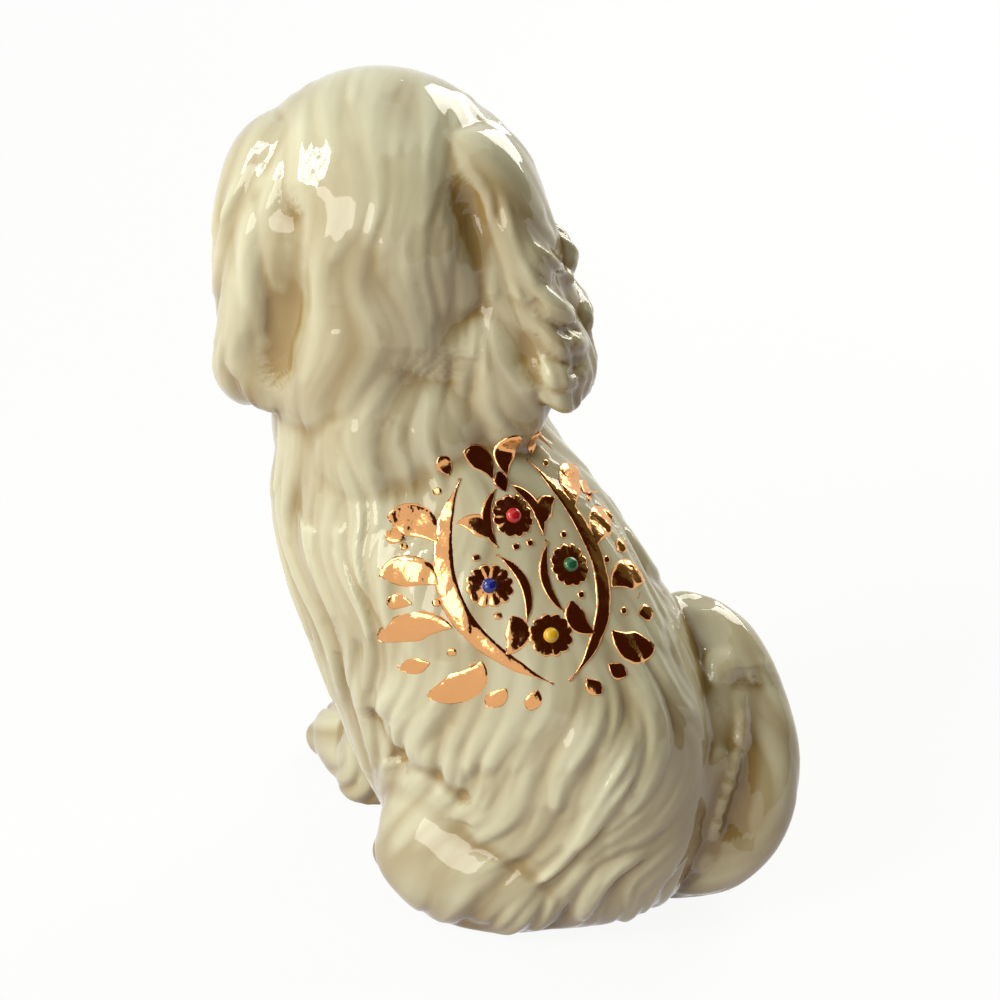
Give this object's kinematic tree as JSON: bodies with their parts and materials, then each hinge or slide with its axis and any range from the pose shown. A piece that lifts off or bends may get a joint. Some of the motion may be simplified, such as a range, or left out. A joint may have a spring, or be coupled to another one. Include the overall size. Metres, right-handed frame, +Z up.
{
  "type": "seated spaniel figurine",
  "caption": "Seated spaniel figurine in cream glazed china with its head turned, long feathered ears, curled tail and a gilt and enamel spray on its back.",
  "frame": {"origin": "on the flat underside, on the vertical that the body turns about", "axes": "+Z up, the face looks along -Y, the chest points towards +X and a little towards -Y, the left ear is at +X"},
  "size_m": [0.1267, 0.0966, 0.1743],
  "materials": {
    "ivory_glaze": "ivory glaze over fine china, high gloss",
    "bare_clay": "unglazed fired clay, wiped clean under the foot",
    "dark_glaze": "near-black glaze, gloss",
    "gilding": "bright burnished gilding, fired on",
    "red_enamel": "raised opaque enamel, gloss",
    "blue_enamel": "raised opaque enamel, gloss",
    "green_enamel": "raised opaque enamel, gloss",
    "yellow_enamel": "raised opaque enamel, gloss"
  },
  "bodies": {
    "root": {"body_shell": "ivory_glaze", "base_plate": "bare_clay", "head_shell": "ivory_glaze", "left_ear": "ivory_glaze", "right_ear": "ivory_glaze", "left_foreleg": "ivory_glaze", "right_foreleg": "ivory_glaze", "left_hind_paw": "ivory_glaze", "right_hind_paw": "ivory_glaze", "tail": "ivory_glaze", "nose": "dark_glaze", "left_eye": "dark_glaze", "right_eye": "dark_glaze", "gilt_scrolls": "gilding", "gilt_leaves": "gilding", "gilt_stars": "gilding", "gilt_dots": "gilding", "red_enamel_jewel": "red_enamel", "blue_enamel_jewel": "blue_enamel", "green_enamel_jewel": "green_enamel", "yellow_enamel_jewel": "yellow_enamel"}
  },
  "joints": []
}
